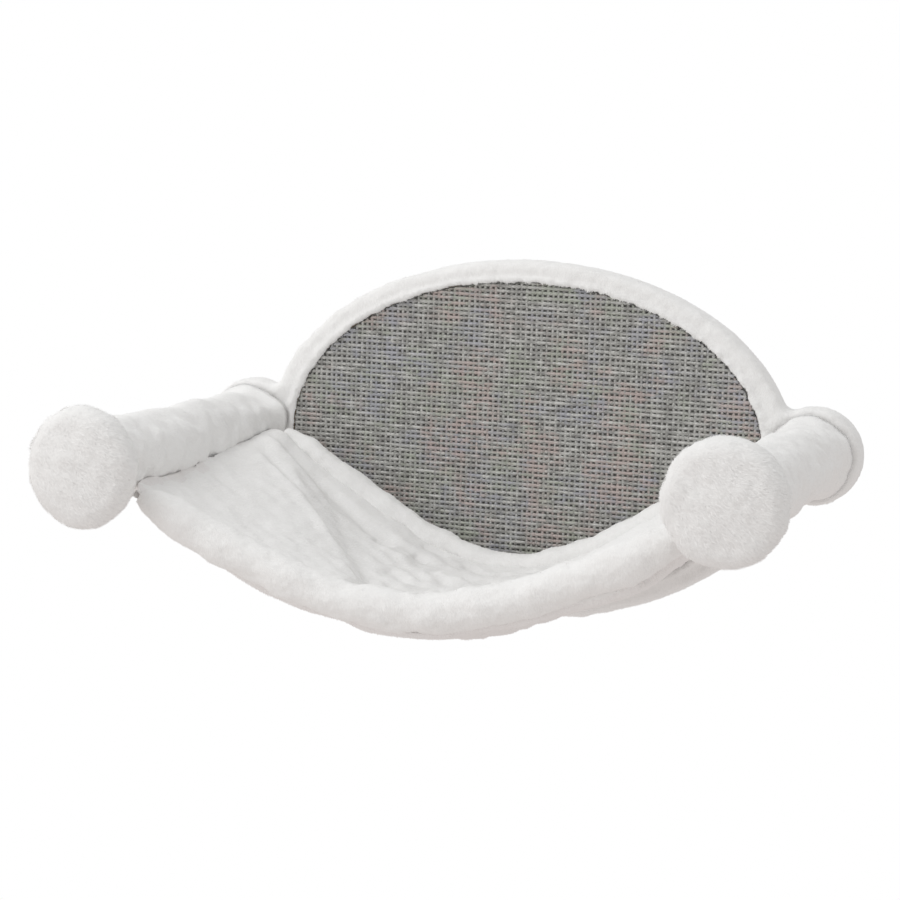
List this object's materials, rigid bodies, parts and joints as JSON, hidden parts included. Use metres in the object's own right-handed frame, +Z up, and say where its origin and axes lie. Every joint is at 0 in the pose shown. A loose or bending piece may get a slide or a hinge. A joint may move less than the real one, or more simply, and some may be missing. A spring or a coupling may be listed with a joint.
{
  "type": "wall mounted cat hammock",
  "caption": "Wall hammock for a cat: an oval plush-edged back board with a woven scratching mat, two plush posts with round padded ends, and a padded plush sling hung between them.",
  "frame": {"origin": "on the wall plane, half way between the axes of the two posts", "axes": "+X to the right seen from the room, +Y into the wall, +Z up"},
  "size_m": [0.54, 0.33, 0.278],
  "materials": {
    "plush": "short white plush",
    "sisal": "coarse woven mat of mixed grey yarns",
    "foam": "soft foam",
    "wadding": "loose fibre",
    "fibreboard": "bare fibreboard",
    "wood": "bare turned wood",
    "cardboard": "wound tube of pale board",
    "zinc_wire": "zinc plated wire",
    "zinc_plate": "zinc plated sheet",
    "screw_steel": "plated steel"
  },
  "bodies": {
    "frame": {"back_board": "fibreboard", "board_cover": "plush", "cover_foam": "foam", "cover_staples": "zinc_wire", "scratching_mat": "sisal", "left_hanger": "zinc_plate", "right_hanger": "zinc_plate", "hanger_screws": "screw_steel", "left_post_tube": "cardboard", "left_post_rear_plug": "wood", "left_post_front_plug": "wood", "left_post_rear_insert": "screw_steel", "left_post_front_insert": "screw_steel", "left_post_bolt": "screw_steel", "left_post_washer": "screw_steel", "right_post_tube": "cardboard", "right_post_rear_plug": "wood", "right_post_front_plug": "wood", "right_post_rear_insert": "screw_steel", "right_post_front_insert": "screw_steel", "right_post_bolt": "screw_steel", "right_post_washer": "screw_steel"},
    "sling": {"sling_top": "plush", "sling_wadding": "wadding", "sling_underside": "plush", "front_hem": "plush", "front_hem_filling": "wadding", "rear_hem": "plush", "rear_hem_filling": "wadding", "left_sleeve": "plush", "right_sleeve": "plush"},
    "left_stud": {"left_disc_stud": "screw_steel"},
    "left_disc": {"left_disc_cover": "plush", "left_disc_padding": "foam", "left_disc_core": "fibreboard"},
    "right_stud": {"right_disc_stud": "screw_steel"},
    "right_disc": {"right_disc_cover": "plush", "right_disc_padding": "foam", "right_disc_core": "fibreboard"}
  },
  "joints": [
    {"name": "sling_slide", "type": "slide", "parent": "frame", "child": "sling", "axis": [0, -1, 0], "range_m": [-0.002, 0.002]},
    {"name": "left_stud_advance", "type": "slide", "parent": "frame", "child": "left_stud", "axis": [0, -1, 0], "range_m": [0, 0.0125]},
    {"name": "left_disc_turn", "type": "hinge", "parent": "left_stud", "child": "left_disc", "pos_m": [-0.226, -0.314, 0], "axis": [0, -1, 0], "range_deg": [0, 3600]},
    {"name": "right_stud_advance", "type": "slide", "parent": "frame", "child": "right_stud", "axis": [0, -1, 0], "range_m": [0, 0.0125]},
    {"name": "right_disc_turn", "type": "hinge", "parent": "right_stud", "child": "right_disc", "pos_m": [0.226, -0.314, 0], "axis": [0, -1, 0], "range_deg": [0, 3600]}
  ],
  "couplings": [
    {"joint": "left_stud_advance", "follows": "left_disc_turn", "m_per_rad": 0.00019894},
    {"joint": "right_stud_advance", "follows": "right_disc_turn", "m_per_rad": 0.00019894}
  ]
}
